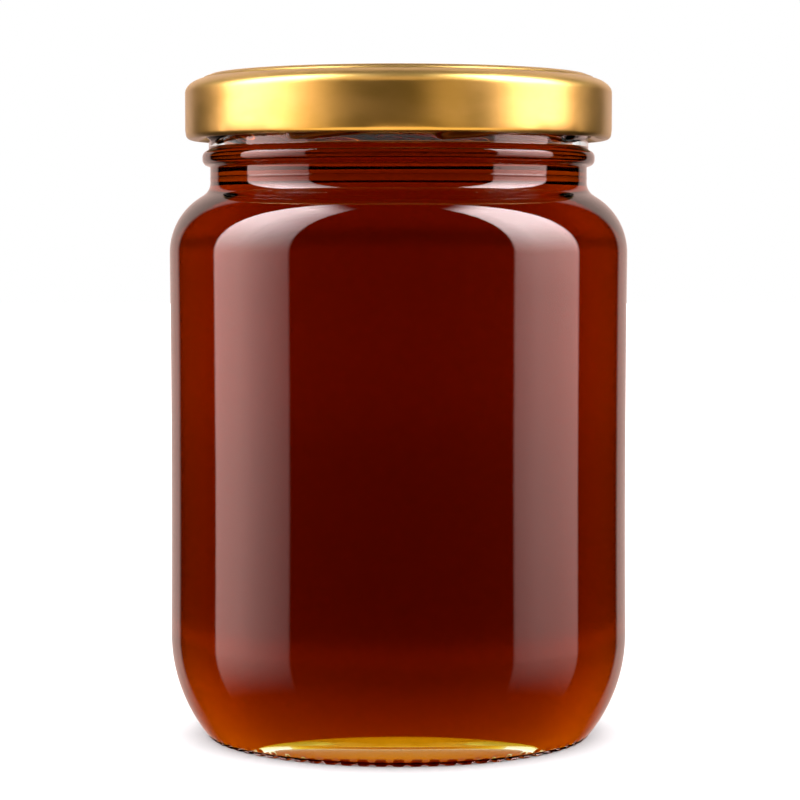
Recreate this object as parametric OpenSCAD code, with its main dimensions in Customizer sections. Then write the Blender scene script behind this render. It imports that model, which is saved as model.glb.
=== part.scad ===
// Glass honey jar with a twist-off lid, filled with dark honey.
// +Z is up, the front faces -Y, and the origin is the centre of the ring it stands on.

/* [Glass body] */
// Outside diameter at the shoulder and the heel
body_d = 91.7; // [91:0.1:130]
// Height at which the body starts to turn in to the shoulder
shoulder_z = 97; // [50:0.5:180]
// How far the label panel is drawn in at mid height
waist = 0.17; // [0:0.01:0.6]
// Thickness of the glass wall, from the heel to the rim
glass_t = 2.7; // [2:0.1:3.5]
// Radius of the shoulder
shoulder_r = 13; // [8:0.1:13.5]
// Radius where the shoulder runs into the neck
neck_fillet = 3; // [1:0.1:4]
// Angle that the shoulder turns through before it meets the neck, in degrees
shoulder_a = 58; // [40:1:59]

/* [Heel and base] */
// Height at which the heel starts to turn in
heel_z = 20.4; // [16:0.1:25]
// Radius of the heel
heel_r = 31.5; // [26:0.1:38]
// Radius of the edge of the bearing ring
foot_fillet = 0.8; // [0.4:0.1:1.5]
// Width of the flat bearing ring
bearing_w = 2.2; // [1.6:0.1:4]
// Rise of the underside above the bearing ring at its centre
push_up = 5.3; // [1:0.1:7]
// Thickness of the glass at the centre of the base
base_t = 3; // [2.6:0.1:6]
// How much lower the inside floor is at its edge than at its centre
floor_drop = 2.5; // [0.4:0.1:3]
// Radius inside the heel
inner_heel_r = 22; // [6:0.5:30]

/* [Grip marks under the heel] */
// Number of scallops round the bearing ring
knurl_count = 72; // [24:1:90]
// Radius of the round cutter of a scallop
knurl_r = 1.2; // [0.8:0.1:1.6]
// Depth of a scallop at the edge of the ring
knurl_depth = 0.5; // [0.2:0.05:0.6]
// Upward slope of a scallop, in degrees
knurl_tilt = 25; // [15:1:40]

/* [Neck] */
// Height of the neck, from the top of the shoulder's fillet to the rim
neck_h = 20.3; // [18:0.1:30]
// How much narrower the neck is below its bead than above it, on each side
neck_step = 0.3; // [0.1:0.05:1]
// How far the neck bead stands out from the finish above it
bead_out = 1.27; // [0.8:0.01:1.6]
// Height of the neck bead
bead_h = 3.14; // [2.4:0.02:4]
// Height of the middle of the bead above the shoulder's fillet
bead_up = 4.84; // [3:0.02:6]
// How far the mould's parting line stands out on the neck
parting_out = 0.06; // [0.02:0.01:0.15]
// Height of the parting line above the shoulder's fillet
parting_up = 0.8; // [0.5:0.05:1]
// Radius of the rim's inner and outer edges
rim_fillet = 1; // [0.5:0.1:1.3]

/* [Threads] */
// Number of thread leads, and of lugs in the lid
lead_count = 8; // [6:1:8]
// How far a thread stands out from the finish
thread_out = 1.5; // [1.2:0.1:1.7]
// Height of a thread at its root
thread_h = 2.6; // [2.3:0.1:3.2]
// Climb of a thread, in degrees
thread_climb = 5.4; // [4:0.1:7]
// How far round a thread runs, in degrees
thread_span = 44; // [36:1:44]
// Angle from the front to the start of the first thread, in degrees
thread_phase = 11; // [9:0.5:14]
// Clearance between the threads and the lid's rolled edge
thread_gap = 1.15; // [0.5:0.05:1.5]

/* [Lid] */
// Outside diameter of the lid, which sets the neck's diameter as well
lid_d = 85.3; // [60:0.1:86]
// Height of the lid, from the bottom edge to the raised ring's top
lid_h = 12.9; // [12:0.1:16]
// Thickness of the sheet
lid_t = 0.35; // [0.2:0.05:0.6]
// Width of the rounded edge between skirt and top
lid_edge_w = 5; // [4.2:0.1:6]
// Height of the rounded edge between skirt and top
lid_edge_h = 3; // [2:0.1:4]
// Distance of the raised ring's middle from the lid's outside
ring_inset = 5.35; // [5:0.05:9]
// Radius of the raised ring's rounded section
ring_fillet = 1.2; // [0.9:0.1:1.3]
// Height of the raised ring above the sunk panel
ring_h = 0.8; // [0.5:0.05:0.85]
// Height of the raised ring above the step outside it
ring_step = 0.45; // [0.3:0.05:0.6]
// Distance of the step's edge from the lid's outside
step_inset = 3.65; // [3.4:0.05:3.8]
// Radius of the rolled edge at the bottom of the skirt
curl_r = 1; // [0.8:0.05:1.1]
// Width of a lug, in degrees
lug_span = 16; // [8:1:18]
// Height of a lug
lug_h = 1.1; // [0.8:0.1:1.4]
// Clearance between the lugs and the finish
lug_gap = 0.8; // [0.5:0.05:1]
// Clearance between a lug and the thread that it holds
catch_gap = 0.3; // [0.1:0.05:0.6]
// Angle from the front to the middle of the first lug, in degrees
lug_phase = 1.5; // [0:0.5:4]

/* [Honey] */
// Distance from the rim down to the honey's surface
headspace = 13.65; // [4:0.05:90]
// Clearance between honey and glass
honey_gap = 0.05; // [0.02:0.01:0.2]

/* [Hidden] */
$fn = 144;

front_a = -90;
arc_steps = 9;        // straight pieces in a rounded stretch of an outline
dome_a0 = 12;         // stretch of an ellipse that a dome follows, in degrees
dome_a1 = 80;

body_r = body_d / 2;
lid_r = lid_d / 2;
thread_r = lid_r - 2 * curl_r - thread_gap;
finish_r = thread_r - thread_out;
neck_r = finish_r - neck_step;
bore_r = neck_r - glass_t;
bead_r = finish_r + bead_out;
lug_r = finish_r + lug_gap;

// The shoulder's round and the neck's fillet, joined by a short straight slope
shoulder_c = [body_r - shoulder_r, shoulder_z];
slope_w = body_r - neck_r - (shoulder_r + neck_fillet) * (1 - cos(shoulder_a));
neck_z = shoulder_z + (shoulder_r + neck_fillet) * sin(shoulder_a) + slope_w / tan(shoulder_a);
fillet_c = [neck_r + neck_fillet, neck_z];
bead_z = neck_z + bead_up;
rim_z = neck_z + neck_h;
fill_z = rim_z - headspace;

// The foot's small radius touches the heel's round and the ground
heel_c = [body_r - heel_r, heel_z];
foot_c = [heel_c.x + sqrt(pow(heel_r - foot_fillet, 2) - pow(heel_z - foot_fillet, 2)), foot_fillet];
foot_a = atan2(heel_c.y - foot_c.y, foot_c.x - heel_c.x);
bearing_r = foot_c.x - bearing_w;
push_up_inset = 0.6;  // width of the slope from the bearing ring to the push-up

// Inside of the base: a shallow dome over the push-up, with a rounded corner
floor_edge_z = push_up + base_t - floor_drop;
inner_heel_c = [body_r - glass_t - inner_heel_r, floor_edge_z + inner_heel_r];

// The lid's flat underside lies on the rim
panel_z = rim_z + lid_t;
lid_top = panel_z + ring_h;
lid_z = lid_top - lid_h;
step_z = lid_top - ring_step;
step_drop = 0.25;     // drop from the step to the top of the rounded edge
edge_c = [lid_r - lid_edge_w, step_z - step_drop - lid_edge_h];

// A thread's section: its flank slopes from below the finish out to the crest
flank_in = 1;
flank_h = thread_h / 2 + 0.6;
crest_h = thread_h / 2 - 1.1;
shelf_h = crest_h + 0.4;
shelf_r = thread_r - 0.3;
flank_slope = (flank_h - shelf_h) / (shelf_r - finish_r + flank_in);

// Each thread passes just above the low end of the lug that it holds
lug_low_a = lug_phase + 360 / lead_count - thread_phase - lug_span / 2;
lug_low_rise = thread_r * tan(thread_climb) * sin(lug_low_a - thread_span / 2);
thread_mid_z = lid_z + lug_h + catch_gap - lug_low_rise
    + flank_h - flank_slope * (lug_r + 0.3 - finish_r + flank_in);

// Points along an arc of an ellipse about c
function arc(c, rx, rz, a0, a1, steps = arc_steps) =
    [for (i = [0:steps]) let (a = a0 + (a1 - a0) * i / steps) c + [rx * cos(a), rz * sin(a)]];

// A slightly hollow line from z0 up to z1 at radius r, drawn in by depth at its middle
function hollow(r, z0, z1, depth) =
    [for (t = [0.1:0.1:0.9]) [r - depth * 4 * t * (1 - t), z0 + (z1 - z0) * t]];

// A shallow dome from the axis out to nearly radius rx, level over its middle
function dome(c, rx, rz) = concat([c + [0, rz * sin(dome_a1)]], arc(c, rx, rz, dome_a1, dome_a0));

function reversed(points) = [for (i = [len(points) - 1:-1:0]) points[i]];

function parting_line() =
    [for (p = [[0, -0.25], [1, -0.1], [1, 0.1], [0, 0.25]])
        [neck_r + p.x * parting_out, neck_z + parting_up + p.y]];

// The bead's two rounds, with a narrow band between them
function bead() =
    let (band = 0.25, r = bead_h / 2 - band, x = bead_r - r)
    concat([[neck_r, bead_z - bead_h / 2 - 0.15]],
           arc([x, bead_z - band], r, r, -75, 0, 6),
           arc([x, bead_z + band], r, r, 0, 75, 6),
           [[finish_r, bead_z + bead_h / 2 + 0.25]]);

// Outside of the glass, from the middle of the base up to the rim
function glass_outside() = concat(
    dome([0, 0], bearing_r - push_up_inset, push_up),
    [[bearing_r, 0]],
    arc(foot_c, foot_fillet, foot_fillet, -90, -foot_a, 4),
    arc(heel_c, heel_r, heel_r, -foot_a, 0, 16),
    hollow(body_r, heel_z, shoulder_z, waist),
    arc(shoulder_c, shoulder_r, shoulder_r, 0, shoulder_a, 12),
    arc(fillet_c, neck_fillet, neck_fillet, shoulder_a + 180, 180),
    parting_line(),
    bead(),
    arc([finish_r - rim_fillet, rim_z - rim_fillet], rim_fillet, rim_fillet, 0, 90, 5));

// Inside of the glass, drawn in by gap, from the neck down to the middle of the floor
function glass_inside(gap) =
    let (fillet_r = neck_fillet + glass_t + gap, round_r = shoulder_r - glass_t - gap)
    concat(arc(fillet_c, fillet_r, fillet_r, 180, shoulder_a + 180),
           arc(shoulder_c, round_r, round_r, shoulder_a, 0, 12),
           arc(inner_heel_c, inner_heel_r - gap, inner_heel_r - gap, 0, -90),
           reversed(dome([0, floor_edge_z + gap], inner_heel_c.x, floor_drop)));

module thread_lead() {
    // A ring that leans with the thread's climb, cut to the thread's span
    reach = thread_r + 5;
    half = thread_span / 2;
    intersection() {
        translate([0, 0, thread_mid_z])
            rotate([thread_climb, 0, 0])
                rotate_extrude()
                    polygon([[finish_r - flank_in, -flank_h], [shelf_r, -shelf_h],
                             [thread_r, -crest_h], [thread_r, crest_h],
                             [shelf_r, shelf_h], [finish_r - flank_in, flank_h]]);
        linear_extrude(height = 2 * rim_z)
            polygon([[0, 0], reach * [cos(half), -sin(half)],
                     [1.2 * reach, 0], reach * [cos(half), sin(half)]]);
    }
}

module threads() {
    for (i = [0:lead_count - 1])
        rotate(front_a + thread_phase + thread_span / 2 + i * 360 / lead_count)
            thread_lead();
}

module scallops() {
    pitch = 360 / knurl_count;
    cutter_l = 5;
    for (i = [0:knurl_count - 1])
        rotate((i + 0.5) * pitch)
            translate([foot_c.x + foot_fillet / 2, 0, 0])
                rotate([0, 90 - knurl_tilt, 0])
                    translate([knurl_r - knurl_depth, 0, 0])
                        cylinder(r = knurl_r, h = cutter_l, center = true, $fn = 32);
}

module jar() {
    color("lightcyan", 0.35)
        difference() {
            union() {
                rotate_extrude()
                    polygon(concat(glass_outside(),
                                   arc([bore_r + rim_fillet, rim_z - rim_fillet],
                                       rim_fillet, rim_fillet, 90, 180, 5),
                                   glass_inside(0)));
                threads();
            }
            scallops();
        }
}

module honey() {
    color("saddlebrown")
        rotate_extrude()
            intersection() {
                polygon(concat([[0, rim_z], [bore_r - honey_gap, rim_z]],
                               glass_inside(honey_gap)));
                square([body_r, fill_z]);
            }
}

module lug() {
    root_r = lid_r - curl_r;
    rotate(-lug_span / 2)
        rotate_extrude(angle = lug_span)
            polygon([[lug_r, lid_z + 0.35], [lug_r + 0.3, lid_z + 0.1],
                     [root_r, lid_z + 0.1], [root_r, lid_z + lug_h + 0.3],
                     [lug_r + 0.3, lid_z + lug_h], [lug_r, lid_z + lug_h - 0.25]]);
}

module lid_section() {
    // The sheet and the sealing ring under it, which fills the raised ring, then the rolled edge
    ring_c = [lid_r - ring_inset, lid_top - ring_fillet];
    ring_in_a = asin((panel_z - ring_c.y) / ring_fillet);
    ring_out_a = asin((step_z - ring_c.y) / ring_fillet);
    step_r = lid_r - step_inset;
    step_a = acos((step_r - edge_c.x) / lid_edge_w);
    polygon(concat(
        [[0, panel_z]],
        arc(ring_c, ring_fillet, ring_fillet, 180 - ring_in_a, ring_out_a, 8),
        [[step_r - 0.3, step_z], [step_r - 0.05, step_z - 0.12]],
        arc(edge_c, lid_edge_w, lid_edge_h, step_a, 0),
        [[lid_r, lid_z + curl_r], [lid_r - lid_t, lid_z + curl_r]],
        arc(edge_c, lid_edge_w - lid_t, rim_z - edge_c.y, 0, 90),
        [[0, rim_z]]));
    translate([lid_r - curl_r, lid_z + curl_r])
        circle(r = curl_r);
}

module lid() {
    color("goldenrod")
        union() {
            rotate_extrude()
                lid_section();
            for (i = [0:lead_count - 1])
                rotate(front_a + lug_phase + i * 360 / lead_count)
                    lug();
        }
}

jar();
honey();
lid();
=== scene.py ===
"""A glass jar of dark honey with a gold twist-off lid, on a pale studio floor."""

import math

import bpy
import numpy as np
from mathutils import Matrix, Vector


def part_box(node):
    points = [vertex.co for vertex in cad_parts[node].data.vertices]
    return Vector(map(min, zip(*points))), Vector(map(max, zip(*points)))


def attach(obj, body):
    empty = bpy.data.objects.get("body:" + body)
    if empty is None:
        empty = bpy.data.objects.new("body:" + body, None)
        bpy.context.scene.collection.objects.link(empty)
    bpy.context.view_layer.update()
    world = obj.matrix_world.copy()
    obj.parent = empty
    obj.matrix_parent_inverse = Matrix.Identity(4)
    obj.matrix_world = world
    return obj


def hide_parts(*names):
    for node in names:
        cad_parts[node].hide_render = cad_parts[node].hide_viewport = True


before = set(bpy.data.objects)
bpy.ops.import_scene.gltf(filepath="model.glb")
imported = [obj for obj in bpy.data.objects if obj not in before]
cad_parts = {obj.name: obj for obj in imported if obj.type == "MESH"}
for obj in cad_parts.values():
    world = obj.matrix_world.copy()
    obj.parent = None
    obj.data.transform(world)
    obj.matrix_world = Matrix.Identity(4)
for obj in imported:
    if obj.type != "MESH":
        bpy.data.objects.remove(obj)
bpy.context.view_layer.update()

MM = 0.001

# ---------------------------------------------------------------- sizes, in millimetres


def box_mm(node):
    low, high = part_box(node)
    return low / MM, high / MM


JAR_HIGH = box_mm("jar")[1]
HONEY_LOW, HONEY_HIGH = box_mm("honey")
LID_LOW, LID_HIGH = box_mm("lid")

BODY_R = JAR_HIGH.y
RIM_Z = JAR_HIGH.z
FILL_Z = HONEY_HIGH.z
LID_R = LID_HIGH.y
LID_Z = LID_LOW.z
LID_TOP = LID_HIGH.z

# Clearances of the CAD pieces
HONEY_GAP = 0.05
THREAD_GAP = 1.15
LUG_GAP = 0.8

# Glass body
GLASS_T = 2.7
SHOULDER_Z = 97
SHOULDER_R = 13
SHOULDER_A = 58
WAIST = 0.17
HEEL_Z = 20.4
HEEL_R = 31.5
FOOT_R = 0.8
BEARING_W = 2.2
PUSH_UP = 5.3
PUSH_UP_INSET = 0.6
WALL_ROWS = 6
FLOOR_EDGE_Z = HONEY_LOW.z - HONEY_GAP
FLOOR_DROP = 2.5
INNER_HEEL_R = 22

# Lid
SHEET_T = 0.35
LID_EDGE_W = 5
LID_EDGE_H = 3
RING_INSET = 5.35
RING_FILLET = 1.2
RING_STEP = 0.45
RING_H = 0.8
STEP_INSET = 3.65
STEP_DROP = 0.25
CURL_R = 1.0

# Neck and threads
LEADS = 8
THREAD_OUT = 1.5
THREAD_HALF_H = 1.45
THREAD_CLIMB = 5.4
THREAD_SPAN = 44
THREAD_PHASE = 11
THREAD_END = 5
THREAD_MID_Z = LID_Z + 1.7
THREAD_R = LID_R - 2 * CURL_R - THREAD_GAP
FINISH_R = THREAD_R - THREAD_OUT
NECK_R = FINISH_R - 0.3
BORE_R = NECK_R - GLASS_T
BEAD_R = FINISH_R + 1.27
BEAD_H = 3.14
BEAD_BAND = 0.25
NECK_FILLET = 3
NECK_Z = RIM_Z - 20.3
BEAD_Z = NECK_Z + 4.84
PARTING_Z = NECK_Z + 0.8
PARTING_OUT = 0.06
PARTING_HALF_H = 0.3
RIM_FILLET = 1.0
WET_NECK_Z = NECK_Z + 1

# Distance of the extra rows that keep a straight stretch's shading straight
GUARD = 0.08

# Lugs
LUG_R = FINISH_R + LUG_GAP
LUG_SPAN = 16
LUG_END = 3
LUG_PHASE = 1.5
LUG_DENT = 0.15
LUG_DENT_H = 2.0
LUG_SQUASH = 0.45

# Grip marks under the heel
KNURLS = 72
KNURL_R = 1.2
KNURL_DEPTH = 0.5
KNURL_TILT = 25
GRIP_TOP = 2.2
GRIP_W = 2

# Honey
WALL_OVERLAP = 0.12
MENISCUS_H = 0.5
MENISCUS_W = 1.6
MENISCUS_ROWS = (0.08, 0.2, 0.4, 0.6, 0.8, 1)

# Points in a ring, and pieces in the rounded stretches of the outlines
TURNS = 432
DOME_STEPS = 10
FOOT_STEPS = 5
HEEL_STEPS = 22
SHOULDER_STEPS = 14
FILLET_STEPS = 9
BEAD_STEPS = 7
FINISH_STEPS = 34
RIM_STEPS = 4
INNER_STEPS = 6
WALL_STEPS = 8
INNER_HEEL_STEPS = 12
FLOOR_STEPS = 8
CURL_STEPS = 22
LID_EDGE_STEPS = 14
LID_INSIDE_STEPS = 10
RING_STEPS = 10
STRAIGHT_STEPS = 9
UNDERSIDE_RINGS = (8, 16, 24, 30, 34)
PANEL_RINGS = (35.2, 34.6, 30, 24, 18, 12, 6)

# A dome follows this stretch of an ellipse, in degrees
DOME_LOW = 12
DOME_HIGH = 80

# Waves in the glass, as (waves round the jar, turn with height, phase, strength), and their sizes
RIPPLE_WAVES = ((3, 0.11, 0.7, 1.0), (5, -0.07, 2.1, 0.7), (2, 0.16, 4.0, 0.5), (11, 0.05, 0.0, 0.35))
RIPPLE_MAX = 2.6
RIPPLE_OUTSIDE = 0.006
RIPPLE_INSIDE = 0.03
RIPPLE_FOOT = 3
RIPPLE_START = (14, 22)
RIPPLE_END = 4
RIPPLE_DEPTH = 1.2

# Glass and honey. Between the two, the glass's inner face bends the light and the honey's skin hardly does
GLASS_IOR = 1.52
HONEY_IOR = 1.508
GLASS_TINT = (0.985, 0.995, 0.99, 1)
FILM_TINT = (1.0, 0.22, 0.03, 1)
GLASS_BUMP = 0.25
HONEY_BUMP = 0.15
HONEY_SKIN_IOR = 1.001
HONEY_COLOUR = (0.912, 0.770, 0.0, 1)
HONEY_DENSITY = 300

# Gold lacquer, and the lamps that light the lid only
GOLD_DARK = (0.56, 0.42, 0.11, 1)
GOLD_LIGHT = (0.64, 0.48, 0.15, 1)
GOLD_ROUGH = (0.31, 0.36)
LAMP_COLOUR = (1, 0.62, 0.32)
LID_MIDDLE = (0, 0, LID_Z * MM)
LID_LAMPS = (
    # name, place, size, power and the point that it faces
    ("lamp_over_lid", (0, -0.45, 0.50), (0.9, 0.3), 0.85, LID_MIDDLE),
    ("bounce_under_lid", (0, -0.16, 0.02), (0.6, 0.2), 0.8, (0, -0.16, 1)),
    ("wing_left_of_lid", (-0.46, -0.38, 0.15), (0.3, 0.3), 0.35, LID_MIDDLE),
    ("wing_right_of_lid", (0.26, -0.54, 0.15), (0.2, 0.3), 0.175, LID_MIDDLE),
)

# Light that comes through the glass, as (elevation, brightness), and how much stronger it is over a
# stretch of azimuth on either side
BACKLIGHT_MAX = 1.6
BACKLIGHT_REACH = 30
BACKLIGHT_BY_ELEVATION = ((-30, 1.05), (-14, 0.98), (-10, 0.78), (-8, 0.62), (-5, 0.67), (-1.5, 0.9),
                          (0, 0.85), (1.5, 0.78), (3.5, 0.82), (7, 1.0), (12, 1.15), (30, 1.4))
SIDE_LEVEL = 1.5
SIDE_RISE = (22, 46)
SIDE_FALL = (57, 68)

# Softboxes that the glass mirrors: sharp edge, far edge and start of the fade in degrees of azimuth, the
# level at the far edge, and the brightness low down and high up
LEFT_SOFTBOX = (76.3, 124.6, 94, 0.35, 3.0, 14)
RIGHT_SOFTBOX = (79.3, 121, 107, 0.7, 1.85, 16)
SOFTBOX_EDGE = 1.2
SOFTBOX_FOOT = (-30, -5)
SOFTBOX_HEIGHTS = (-10, 40)
SOFTBOX_TOP = (62, 76)
SOFTBOX_COLOURS = ((1, 0.62, 0.56, 1), (1, 0.84, 0.84, 1))
COLOUR_HEIGHTS = (-8, 40)

# The window behind the jar that the glass mirrors at its edges: where it ends sideways, below and above
WINDOW_LEVEL = 0.85
WINDOW_SIDE = (33, 39)
WINDOW_FOOT = (-28, -10)
WINDOW_TOP = (50, 65)
WINDOW_COLOUR = (1, 0.70, 0.62, 1)

# Light on the floor, and the floor's own colours
FILL_LEVEL = 2.2
FILL_COLOUR = (1, 0.98, 0.98, 1)
WHITE = (1, 1, 1, 1)
FLOOR_COLOURS = ((0.86, 0.85, 0.86, 1), (0.90, 0.89, 0.90, 1))
FLOOR_HALF = 4.0

# A long lens just above the honey's middle, tilted slightly down
CAMERA_PLACE = (0.0003, -0.5457, 0.09865)
CAMERA_TILT = 3.284
CAMERA_LENS = 121.95
CAMERA_SENSOR = 36

# ---------------------------------------------------------------- outlines and solids


def arc(cx, cz, rx, rz, a0, a1, steps):
    """Points along an arc of an ellipse, with its angles in degrees."""
    angles = np.radians(np.linspace(a0, a1, steps + 1))
    return [(cx + rx * math.cos(a), cz + rz * math.sin(a)) for a in angles]


def line(p, q, steps):
    """Points along a straight line, without its ends."""
    across, up = q[0] - p[0], q[1] - p[1]
    return [(p[0] + across * i / steps, p[1] + up * i / steps) for i in range(1, steps)]


def smooth(x, low, high):
    """Smooth step from 0 at low to 1 at high."""
    t = np.clip((x - low) / (high - low), 0, 1)
    return t * t * (3 - 2 * t)


def turned(name, outline, shape=None, slot_of=None, fine=()):
    """A solid turned round Z from an outline that starts and ends on the axis.

    shape(angle, r, z) bends each ring, slot_of(row) picks the material of the strip that
    starts at a row, and the rows in fine have twice as many points.
    """
    points, rings, faces, slots = [], [], [], []
    count = 0
    for row, (r, z) in enumerate(outline):
        turns = 1 if r == 0 else TURNS * (2 if row in fine else 1)
        angle = 2 * math.pi * np.arange(turns) / turns
        radii, heights = np.full(turns, float(r)), np.full(turns, float(z))
        if shape and turns > 1:
            radii, heights = shape(angle, radii, heights)
        points.append(np.column_stack([radii * np.cos(angle), radii * np.sin(angle), heights]))
        rings.append((count, turns))
        count += turns
    for row in range(len(rings) - 1):
        strip = strip_faces(rings[row], rings[row + 1])
        faces.extend(strip)
        slots.extend([slot_of(row) if slot_of else 0] * len(strip))
    mesh = bpy.data.meshes.new(name)
    mesh.from_pydata(np.concatenate(points) * MM, [], faces)
    mesh.polygons.foreach_set("use_smooth", [True] * len(faces))
    mesh.polygons.foreach_set("material_index", slots)
    mesh.update()
    piece = bpy.data.objects.new(name, mesh)
    bpy.context.collection.objects.link(piece)
    return piece


def strip_faces(lower, upper):
    """Faces between two rings, each given by its first point and its number of points."""
    (a, n), (b, m) = lower, upper
    turns = max(min(n, m), 2) if min(n, m) > 1 else max(n, m)
    faces = []
    for j in range(turns):
        k = (j + 1) % turns
        if n == 1:
            faces.append((a, b + k, b + j))
        elif m == 1:
            faces.append((a + j, a + k, b))
        elif n == m:
            faces.append((a + j, a + k, b + k, b + j))
        elif m > n:
            faces.append((a + j, a + k, b + 2 * k, b + 2 * j + 1, b + 2 * j))
        else:
            faces.append((a + 2 * j, a + 2 * j + 1, a + 2 * k, b + k, b + j))
    return faces


# ---------------------------------------------------------------- glass


def glass_ripple(angle, r, z):
    """Slight unevenness of moulded glass, always inward: stronger on the wall's inside than outside."""
    inside = smooth(BODY_R - RIPPLE_DEPTH - r, 0, 1) * smooth(z, *RIPPLE_START)
    inside = inside * smooth(SHOULDER_Z - z, -RIPPLE_END, RIPPLE_END)
    size = RIPPLE_OUTSIDE + RIPPLE_INSIDE * inside
    wave = sum(strength * np.sin(count * angle + turn * z + phase)
               for count, turn, phase, strength in RIPPLE_WAVES)
    return size * (wave - RIPPLE_MAX)


def thread_bump(angle, z):
    """Height of the threads above the finish: eight leads that climb to the right."""
    lead = 2 * math.pi / LEADS
    start = math.radians(THREAD_PHASE - 90)
    local = np.degrees((angle - start) % lead)
    climb = THREAD_R * math.tan(math.radians(THREAD_CLIMB))
    middle = THREAD_MID_Z + climb * np.radians(local - THREAD_SPAN / 2)
    ends = smooth(local, 0, THREAD_END) * smooth(THREAD_SPAN - local, 0, THREAD_END)
    ridge = np.clip(1 - np.abs(z - middle) / THREAD_HALF_H, 0, 1)
    return THREAD_OUT * ends * smooth(ridge, 0, 1)


def knurl(angle, r, z):
    """Rounded grooves that rise outward through the edge of the bearing ring."""
    tilt = math.radians(KNURL_TILT)
    pitch = 2 * math.pi / KNURLS
    across = (((angle / pitch) % 1) - 0.5) * pitch * r
    depth = np.sqrt(np.clip(KNURL_R ** 2 - across ** 2, 0, None)) - KNURL_R + KNURL_DEPTH
    out = r - (foot_centre()[0] + FOOT_R / 2)
    height = -out * math.sin(tilt) + z * math.cos(tilt)
    lift = np.clip(depth - height, 0, None) * (np.abs(across) < KNURL_R)
    return r - lift * math.sin(tilt), z + lift * math.cos(tilt)


def foot_centre():
    """Where the foot's small radius touches the heel's round and the ground."""
    reach = HEEL_R - FOOT_R
    return BODY_R - HEEL_R + math.sqrt(reach ** 2 - (HEEL_Z - FOOT_R) ** 2), FOOT_R


def shape_glass(angle, r, z):
    """Adds the ripple, the threads above the bead and the grip marks under the heel."""
    outer_neck = (r > FINISH_R - 0.01) & (r < FINISH_R + 0.01) & (z > BEAD_Z + BEAD_H / 2)
    r = r + glass_ripple(angle, r, z) * (z > RIPPLE_FOOT)
    r = r + np.where(outer_neck, thread_bump(angle, z), 0)
    on_foot = (z < GRIP_TOP) & (r > foot_centre()[0] - GRIP_W)
    knurl_r, knurl_z = knurl(angle, r, z)
    return np.where(on_foot, knurl_r, r), np.where(on_foot, knurl_z, z)


def parting_line():
    """The mould's fine line on the neck, as (distance up, share of its height), with guard rows."""
    half = PARTING_HALF_H
    rows = ((-half - GUARD, 0), (-half, 0), (-0.14, 0.5), (0, 1), (0.14, 0.5), (half, 0), (half + GUARD, 0))
    return [(NECK_R + out * PARTING_OUT, PARTING_Z + up) for up, out in rows]


def bead():
    """The bead's two rounds and the band between them, with the neck's last rows below it."""
    low = BEAD_Z - BEAD_H / 2
    round_r = BEAD_H / 2 - BEAD_BAND
    x = BEAD_R - round_r
    return ([(NECK_R, low - 0.45 - GUARD), (NECK_R, low - 0.45), (NECK_R + 0.04, low - 0.15)]
            + arc(x, BEAD_Z - BEAD_BAND, round_r, round_r, -75, 0, BEAD_STEPS)
            + arc(x, BEAD_Z + BEAD_BAND, round_r, round_r, 0, 75, BEAD_STEPS))


def glass_outside():
    """From the middle of the push-up out, up the wall and over the bead to the rim."""
    foot_x, foot_z = foot_centre()
    foot_a = math.degrees(math.atan2(HEEL_Z - foot_z, foot_x - (BODY_R - HEEL_R)))
    bearing_r = foot_x - BEARING_W
    half = (SHOULDER_Z - HEEL_Z) / 2
    wall = [(BODY_R - WAIST * (1 - (t / WALL_ROWS) ** 2), HEEL_Z + half + half * t / WALL_ROWS)
            for t in range(1 - WALL_ROWS, WALL_ROWS)]
    finish_low = (FINISH_R, BEAD_Z + BEAD_H / 2 + 0.25)
    rim_x, rim_z = FINISH_R - RIM_FILLET, RIM_Z - RIM_FILLET
    fillet_x = NECK_R + NECK_FILLET
    return ([(0, PUSH_UP)]
            + arc(0, 0, bearing_r - PUSH_UP_INSET, PUSH_UP, DOME_HIGH, DOME_LOW, DOME_STEPS)
            + [(bearing_r, 0), (bearing_r + BEARING_W / 2, 0)]
            + arc(foot_x, foot_z, FOOT_R, FOOT_R, -90, -foot_a, FOOT_STEPS)
            + arc(BODY_R - HEEL_R, HEEL_Z, HEEL_R, HEEL_R, -foot_a, 0, HEEL_STEPS)
            + wall
            + arc(BODY_R - SHOULDER_R, SHOULDER_Z, SHOULDER_R, SHOULDER_R, 0, SHOULDER_A, SHOULDER_STEPS)
            + arc(fillet_x, NECK_Z, NECK_FILLET, NECK_FILLET, SHOULDER_A + 180, 180, FILLET_STEPS)
            + [(NECK_R, NECK_Z + GUARD)]
            + parting_line()
            + bead()
            + [finish_low]
            + line(finish_low, (FINISH_R, rim_z), FINISH_STEPS)
            + arc(rim_x, rim_z, RIM_FILLET, RIM_FILLET, 0, 90, RIM_STEPS))


def glass_inside(gap):
    """From the top of the neck down the inside to the middle of the floor, drawn in by gap."""
    fillet = NECK_FILLET + GLASS_T + gap
    round_r = SHOULDER_R - GLASS_T - gap
    heel_x = BODY_R - GLASS_T - INNER_HEEL_R
    heel_z = FLOOR_EDGE_Z + INNER_HEEL_R
    heel_r = INNER_HEEL_R - gap
    wall_r = BODY_R - GLASS_T - gap
    return (arc(NECK_R + NECK_FILLET, NECK_Z, fillet, fillet, 180, SHOULDER_A + 180, WALL_STEPS)
            + arc(BODY_R - SHOULDER_R, SHOULDER_Z, round_r, round_r, SHOULDER_A, 0, FILLET_STEPS)
            + line((wall_r, SHOULDER_Z), (wall_r, heel_z), STRAIGHT_STEPS)
            + arc(heel_x, heel_z, heel_r, heel_r, 0, -90, INNER_HEEL_STEPS)
            + arc(0, FLOOR_EDGE_Z + gap, heel_x, FLOOR_DROP, DOME_LOW, DOME_HIGH, FLOOR_STEPS)
            + [(0, FLOOR_EDGE_Z + gap + FLOOR_DROP)])


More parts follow.
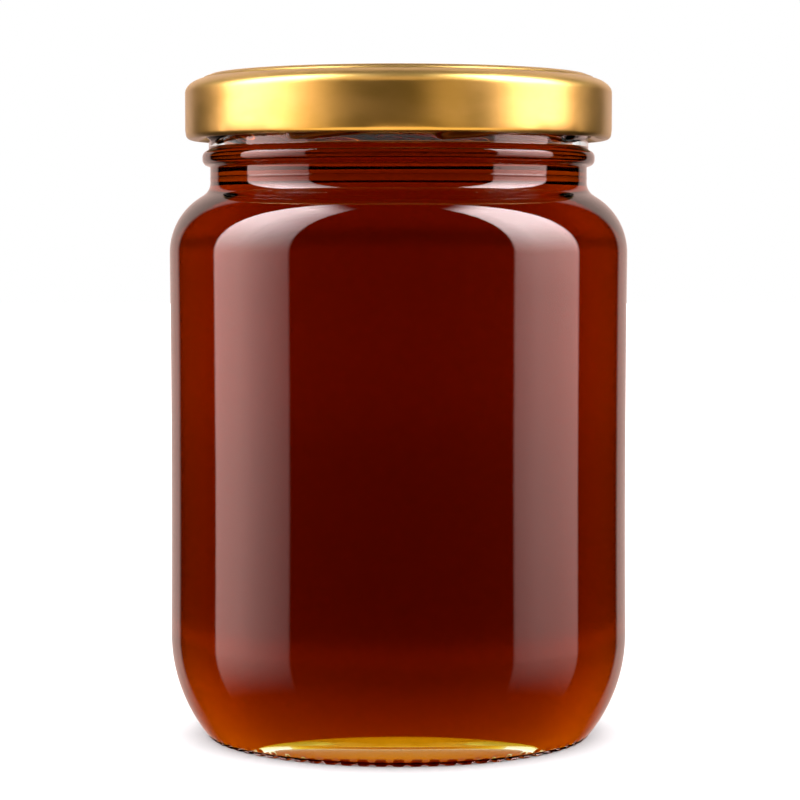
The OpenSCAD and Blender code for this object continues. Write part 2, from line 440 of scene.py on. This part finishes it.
def make_jar():
    """The glass, with a material each for dry glass, glass against honey and glass with a honey film."""
    outside = glass_outside()
    rim = arc(BORE_R + RIM_FILLET, RIM_Z - RIM_FILLET, RIM_FILLET, RIM_FILLET, 90, 180, RIM_STEPS)
    film_z = FILL_Z + MENISCUS_H
    film_neck = line((BORE_R, RIM_Z - RIM_FILLET), (BORE_R, film_z), STRAIGHT_STEPS)
    wet_neck = [(BORE_R, z) for z in np.linspace(film_z, WET_NECK_Z, INNER_STEPS)]
    first_film = len(outside + rim)
    first_wet = first_film + len(film_neck)

    def slot_of(row):
        if row >= first_wet:
            return 1
        return 2 if row >= first_film else 0

    bearing_edge = foot_centre()[0] - BEARING_W - 0.1
    fine = {row for row, (r, z) in enumerate(outside) if z < GRIP_TOP and r > bearing_edge}
    outline = outside + rim + film_neck + wet_neck + glass_inside(0)
    jar = turned("jar_glass", outline, shape_glass, slot_of, fine)
    jar.data.materials.append(glass_material("glass", GLASS_IOR, GLASS_TINT))
    jar.data.materials.append(glass_material("glass_against_honey", GLASS_IOR / HONEY_IOR, GLASS_TINT))
    jar.data.materials.append(glass_material("glass_with_honey_film", GLASS_IOR, FILM_TINT))
    return jar


# ---------------------------------------------------------------- honey


def make_honey():
    """The filling: it reaches just into the wall, and its surface creeps up the glass."""
    wall = BORE_R + WALL_OVERLAP
    neck = [(wall, z) for z in np.linspace(WET_NECK_Z, FILL_Z + MENISCUS_H, 5)]
    creep = [(wall - MENISCUS_W * t, FILL_Z + MENISCUS_H * (1 - t) ** 3) for t in MENISCUS_ROWS]
    level = [(r, FILL_Z) for r in np.linspace(BORE_R - 4, 4, 8)] + [(0, FILL_Z)]
    against_glass = glass_inside(-WALL_OVERLAP)[::-1] + neck
    first_free = len(against_glass)

    def slot_of(row):
        return 1 if row >= first_free else 0

    honey = turned("honey_filling", against_glass + creep + level, None, slot_of)
    honey.data.materials.append(honey_material("honey_in_glass", HONEY_SKIN_IOR))
    honey.data.materials.append(honey_material("honey_surface", HONEY_IOR))
    return honey


# ---------------------------------------------------------------- lid


def lug_weight(angle):
    """1 on a lug and 0 between lugs, with soft ends."""
    lead = 2 * math.pi / LEADS
    start = math.radians(LUG_PHASE - 90 - 360 / LEADS / 2)
    local = np.degrees((angle - start) % lead) - 360 / LEADS / 2
    return smooth(LUG_SPAN / 2 + LUG_END - np.abs(local), 0, 5)


def shape_lid(angle, r, z):
    """Draws the rolled edge in at each lug, which dents the skirt above it slightly."""
    lug = lug_weight(angle)
    inner = (r < LID_R - CURL_R - 0.05) & (z < LID_Z + 2 * CURL_R)
    reach = np.clip((LID_R - CURL_R - r) / CURL_R, 0, 1)
    low = smooth(LID_Z + LUG_DENT_H - z, 0, 1.4)
    inward = np.where(inner, (LID_R - 2 * CURL_R - LUG_R) * reach, 0.0)
    dent = np.where(inner, 0.0, LUG_DENT * low)
    r = r - lug * (inward + dent)
    height = z - LID_Z
    squash = np.where(inner & (height > 0.55), LUG_SQUASH * lug * reach, 0.0)
    return r, z - squash * np.clip(height - 0.5, 0, 1.5)


def lid_outline():
    """From the middle of the underside out, down to the rolled edge, up the skirt and over the top."""
    step_z = LID_TOP - RING_STEP
    panel_z = LID_TOP - RING_H
    edge_x = LID_R - LID_EDGE_W
    edge_z = step_z - STEP_DROP - LID_EDGE_H
    curl_x, curl_z = LID_R - CURL_R, LID_Z + CURL_R
    ring_x, ring_z = LID_R - RING_INSET, LID_TOP - RING_FILLET
    ring_in = math.degrees(math.asin((panel_z - ring_z) / RING_FILLET))
    ring_out = math.degrees(math.asin((step_z - ring_z) / RING_FILLET))
    step_a = math.degrees(math.acos((LID_EDGE_W - STEP_INSET) / LID_EDGE_W))
    return ([(0, RIM_Z)]
            + [(r, RIM_Z) for r in UNDERSIDE_RINGS]
            + arc(edge_x, edge_z, LID_EDGE_W - SHEET_T, RIM_Z - edge_z, 90, 0, LID_INSIDE_STEPS)
            + line((LID_R - SHEET_T, edge_z), (LID_R - SHEET_T, curl_z + CURL_R), 6)
            + [(LID_R - SHEET_T, curl_z + 0.75)]
            + arc(curl_x, curl_z, CURL_R, CURL_R, 60, 360, CURL_STEPS)
            + line((LID_R, curl_z), (LID_R, edge_z), STRAIGHT_STEPS)
            + arc(edge_x, edge_z, LID_EDGE_W, LID_EDGE_H, 0, step_a, LID_EDGE_STEPS)
            + [(LID_R - STEP_INSET - 0.05, step_z - 0.12), (LID_R - STEP_INSET - 0.3, step_z)]
            + arc(ring_x, ring_z, RING_FILLET, RING_FILLET, ring_out, 180 - ring_in, RING_STEPS)
            + [(r, panel_z) for r in PANEL_RINGS]
            + [(0, panel_z)])


def make_lid():
    lid = turned("lid_shell", lid_outline(), shape_lid)
    lid.data.materials.append(lacquer_material())
    return lid


# ---------------------------------------------------------------- materials


class Nodes:
    """Short calls for building one node tree."""

    def __init__(self, tree):
        self.tree = tree
        tree.nodes.clear()

    def add(self, kind, **values):
        """A node; a value's name is a property, or an input's name with _ for its spaces."""
        node = self.tree.nodes.new(kind)
        for key, value in values.items():
            if hasattr(node, key):
                setattr(node, key, value)
            else:
                self.feed(node, key.replace("_", " "), value)
        return node

    def feed(self, node, socket, value):
        target = node.inputs[socket]
        if isinstance(value, bpy.types.NodeSocket):
            self.tree.links.new(value, target)
        else:
            target.default_value = value

    def math(self, operation, a, b=0.0):
        node = self.tree.nodes.new("ShaderNodeMath")
        node.operation = operation
        self.feed(node, 0, a)
        self.feed(node, 1, b)
        return node.outputs[0]

    def ramp(self, value, low, high, to_low=0.0, to_high=1.0, kind="SMOOTHSTEP"):
        node = self.tree.nodes.new("ShaderNodeMapRange")
        node.interpolation_type = kind
        for socket, number in zip(range(5), (value, low, high, to_low, to_high)):
            self.feed(node, socket, number)
        return node.outputs[0]

    def mix(self, factor, a, b):
        """A colour between a and b."""
        node = self.tree.nodes.new("ShaderNodeMix")
        node.data_type = "RGBA"
        self.feed(node, 0, factor)
        self.feed(node, 6, a)
        self.feed(node, 7, b)
        return node.outputs[2]

    def noise(self, scale, detail=2.0, stretch=(1, 1, 1)):
        """Noise over the object's own coordinates, in metres."""
        place = self.add("ShaderNodeTexCoord")
        mapping = self.add("ShaderNodeMapping")
        mapping.inputs["Scale"].default_value = stretch
        self.tree.links.new(place.outputs["Object"], mapping.inputs["Vector"])
        node = self.add("ShaderNodeTexNoise", Scale=scale, Detail=detail)
        self.tree.links.new(mapping.outputs[0], node.inputs["Vector"])
        return node.outputs["Fac"]


def new_material(name):
    material = bpy.data.materials.new(name)
    material.use_nodes = True
    return material, Nodes(material.node_tree)


def glass_material(name, ior, tint):
    """Clear moulded glass, with faint smears and the gentle waviness of its skin."""
    material, nodes = new_material(name)
    skin = nodes.noise(scale=55, detail=1.5, stretch=(1, 1, 0.6))
    smear = nodes.noise(scale=140, detail=3, stretch=(1, 1, 0.35))
    bump = nodes.add("ShaderNodeBump", Strength=GLASS_BUMP, Distance=0.00006, Height=skin)
    shader = nodes.add("ShaderNodeBsdfPrincipled", Base_Color=tint, IOR=ior)
    shader.inputs["Transmission Weight"].default_value = 1
    nodes.feed(shader, "Roughness", nodes.ramp(smear, 0.35, 0.75, 0.0, 0.025))
    nodes.feed(shader, "Normal", bump.outputs[0])
    out = nodes.add("ShaderNodeOutputMaterial")
    nodes.feed(out, "Surface", shader.outputs[0])
    return material


def honey_material(name, ior):
    """Clear dark honey: its colour comes from how far the light runs through it."""
    material, nodes = new_material(name)
    thick = nodes.noise(scale=30)
    bump = nodes.add("ShaderNodeBump", Strength=HONEY_BUMP, Distance=0.0001, Height=thick)
    shader = nodes.add("ShaderNodeBsdfPrincipled", Base_Color=(1, 1, 1, 1), IOR=ior)
    shader.inputs["Transmission Weight"].default_value = 1
    nodes.feed(shader, "Roughness", nodes.ramp(thick, 0.3, 0.7, 0.0, 0.02))
    nodes.feed(shader, "Normal", bump.outputs[0])
    depth = nodes.add("ShaderNodeVolumeAbsorption", Color=HONEY_COLOUR, Density=HONEY_DENSITY)
    out = nodes.add("ShaderNodeOutputMaterial")
    nodes.feed(out, "Surface", shader.outputs[0])
    nodes.feed(out, "Volume", depth.outputs[0])
    return material


def lacquer_material():
    """Satin gold lacquer on tinplate, a little uneven in tone and gloss."""
    material, nodes = new_material("gold_lacquer")
    tone = nodes.noise(scale=90, detail=3, stretch=(1, 1, 2))
    grain = nodes.noise(scale=900, stretch=(1, 1, 0.4))
    bump = nodes.add("ShaderNodeBump", Strength=0.3, Distance=0.00003, Height=grain)
    colour = nodes.mix(nodes.ramp(tone, 0.3, 0.7), GOLD_DARK, GOLD_LIGHT)
    shader = nodes.add("ShaderNodeBsdfPrincipled", Metallic=1.0)
    nodes.feed(shader, "Base Color", colour)
    nodes.feed(shader, "Roughness", nodes.ramp(tone, 0.2, 0.8, *GOLD_ROUGH))
    nodes.feed(shader, "Normal", bump.outputs[0])
    shader.inputs["Coat Weight"].default_value = 0.25
    shader.inputs["Coat Roughness"].default_value = 0.15
    out = nodes.add("ShaderNodeOutputMaterial")
    nodes.feed(out, "Surface", shader.outputs[0])
    return material


# ---------------------------------------------------------------- studio


def make_floor():
    mesh = bpy.data.meshes.new("floor")
    half = FLOOR_HALF
    corners = [(-half, -half, 0), (half, -half, 0), (half, half, 0), (-half, half, 0)]
    mesh.from_pydata(corners, [], [(0, 1, 2, 3)])
    floor = bpy.data.objects.new("floor", mesh)
    bpy.context.collection.objects.link(floor)
    material, nodes = new_material("pale_floor")
    paper = nodes.noise(scale=12)
    colour = nodes.mix(paper, *FLOOR_COLOURS)
    paint = nodes.add("ShaderNodeBsdfDiffuse", Color=colour)
    out = nodes.add("ShaderNodeOutputMaterial")
    nodes.feed(out, "Surface", paint.outputs[0])
    floor.visible_glossy = False
    floor.visible_transmission = False
    mesh.materials.append(material)


def softbox(nodes, side, azimuth, elevation, box):
    """Brightness of a tall softbox on side -1 or 1: sharp at its near edge, fading to the far one."""
    near, far, fade_from, end_level, low, high = box
    turned_to = nodes.math("MULTIPLY", azimuth, side)
    level = nodes.ramp(turned_to, near - SOFTBOX_EDGE, near + SOFTBOX_EDGE)
    parts = (nodes.ramp(turned_to, fade_from, far, 1.0, end_level, "LINEAR"),
             nodes.ramp(turned_to, far - SOFTBOX_EDGE, far + SOFTBOX_EDGE, 1.0, 0.0),
             nodes.ramp(elevation, *SOFTBOX_FOOT),
             nodes.ramp(elevation, *SOFTBOX_HEIGHTS, low, high, "LINEAR"),
             nodes.ramp(elevation, *SOFTBOX_TOP, 1.0, 0.0))
    for part in parts:
        level = nodes.math("MULTIPLY", level, part)
    return level


def follow(mapping, points):
    """Sets a curve through the points, which run from 0 to 1."""
    curve = mapping.curves[0]
    for x, y in points[1:-1]:
        curve.points.new(x, y)
    for point, (x, y) in zip((curve.points[0], curve.points[-1]), (points[0], points[-1])):
        point.location = (x, y)
    mapping.update()


def background(nodes, colour, strength):
    node = nodes.add("ShaderNodeBackground", Color=colour)
    nodes.feed(node, "Strength", strength)
    return node.outputs[0]


def mirrored_room(nodes, azimuth, elevation):
    """A dark room with a window behind the jar and a softbox on either side."""
    away = nodes.math("ABSOLUTE", azimuth)
    window = nodes.math("MULTIPLY", nodes.ramp(away, *WINDOW_SIDE, WINDOW_LEVEL, 0.0),
                        nodes.ramp(elevation, *WINDOW_TOP, 1.0, 0.0))
    window = nodes.math("MULTIPLY", window, nodes.ramp(elevation, *WINDOW_FOOT))
    boxes = nodes.math("ADD", softbox(nodes, -1, azimuth, elevation, LEFT_SOFTBOX),
                       softbox(nodes, 1, azimuth, elevation, RIGHT_SOFTBOX))
    tint = nodes.mix(nodes.ramp(elevation, *COLOUR_HEIGHTS), *SOFTBOX_COLOURS)
    room = nodes.add("ShaderNodeAddShader")
    nodes.feed(room, 0, background(nodes, tint, boxes))
    nodes.feed(room, 1, background(nodes, WINDOW_COLOUR, window))
    return room.outputs[0]


def light_behind_glass(nodes, azimuth, elevation):
    """White all round, its brightness by elevation, and stronger a little way off the axis."""
    away = nodes.math("ABSOLUTE", azimuth)
    curve = nodes.tree.nodes.new("ShaderNodeFloatCurve")
    reach = BACKLIGHT_REACH
    nodes.feed(curve, 1, nodes.ramp(elevation, -reach, reach, kind="LINEAR"))
    follow(curve.mapping, [((e + reach) / (2 * reach), level / BACKLIGHT_MAX)
                           for e, level in BACKLIGHT_BY_ELEVATION])
    sides = nodes.math("MULTIPLY", nodes.ramp(away, *SIDE_RISE, 1.0, SIDE_LEVEL),
                       nodes.ramp(away, *SIDE_FALL, 1.0, 1 / SIDE_LEVEL))
    level = nodes.math("MULTIPLY", curve.outputs[0], BACKLIGHT_MAX)
    return background(nodes, WHITE, nodes.math("MULTIPLY", level, sides))


def make_world():
    """What a ray meets depends on whether it was mirrored, scattered or went through glass."""
    world = bpy.data.worlds.new("studio")
    world.use_nodes = True
    bpy.context.scene.world = world
    world.cycles.sampling_method = "NONE"
    nodes = Nodes(world.node_tree)
    place = nodes.add("ShaderNodeTexCoord")
    axes = nodes.add("ShaderNodeSeparateXYZ")
    nodes.feed(axes, 0, place.outputs["Generated"])
    x, y, z = axes.outputs
    degrees = 180 / math.pi
    azimuth = nodes.math("MULTIPLY", nodes.math("ARCTAN2", x, y), degrees)
    elevation = nodes.math("MULTIPLY", nodes.math("ARCSINE", z), degrees)
    path = nodes.add("ShaderNodeLightPath")
    shader = mirrored_room(nodes, azimuth, elevation)
    lights = (("Is Diffuse Ray", background(nodes, FILL_COLOUR, FILL_LEVEL)),
              ("Is Transmission Ray", light_behind_glass(nodes, azimuth, elevation)),
              ("Is Camera Ray", background(nodes, WHITE, 1.0)))
    for ray, light in lights:
        chosen = nodes.add("ShaderNodeMixShader")
        nodes.feed(chosen, 0, path.outputs[ray])
        nodes.feed(chosen, 1, shader)
        nodes.feed(chosen, 2, light)
        shader = chosen.outputs[0]
    out = nodes.add("ShaderNodeOutputWorld")
    nodes.feed(out, "Surface", shader)


def light_for(piece, name, place, size, power, aim):
    """A soft warm lamp that lights one piece only."""
    lamp = bpy.data.lights.new(name, "AREA")
    lamp.shape = "RECTANGLE"
    lamp.size, lamp.size_y = size
    lamp.energy = power
    lamp.color = LAMP_COLOUR
    holder = bpy.data.objects.new(name, lamp)
    holder.location = place
    holder.visible_camera = False
    holder.visible_transmission = False
    towards = Vector(aim) - Vector(place)
    holder.rotation_euler = towards.to_track_quat("-Z", "Y").to_euler()
    bpy.context.collection.objects.link(holder)
    lit = bpy.data.collections.new(name)
    lit.objects.link(piece)
    holder.light_linking.receiver_collection = lit


def make_camera():
    camera = bpy.data.cameras.new("camera")
    camera.lens = CAMERA_LENS
    camera.sensor_width = CAMERA_SENSOR
    camera.clip_start = 0.01
    holder = bpy.data.objects.new("camera", camera)
    holder.location = CAMERA_PLACE
    holder.rotation_euler = (math.radians(90 - CAMERA_TILT), 0, 0)
    bpy.context.collection.objects.link(holder)
    bpy.context.scene.camera = holder


# ---------------------------------------------------------------- the whole


def place(piece, node, slot):
    """Stands a piece in for its CAD node, on the part's one body."""
    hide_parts(node)
    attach(piece, "root")


lid = make_lid()
place(make_jar(), "jar", "glass")
place(make_honey(), "honey", "honey")
place(lid, "lid", "gold_lacquer")
make_floor()
make_world()
for lamp in LID_LAMPS:
    light_for(lid, *lamp)
make_camera()
bpy.context.scene.view_settings.view_transform = "Standard"
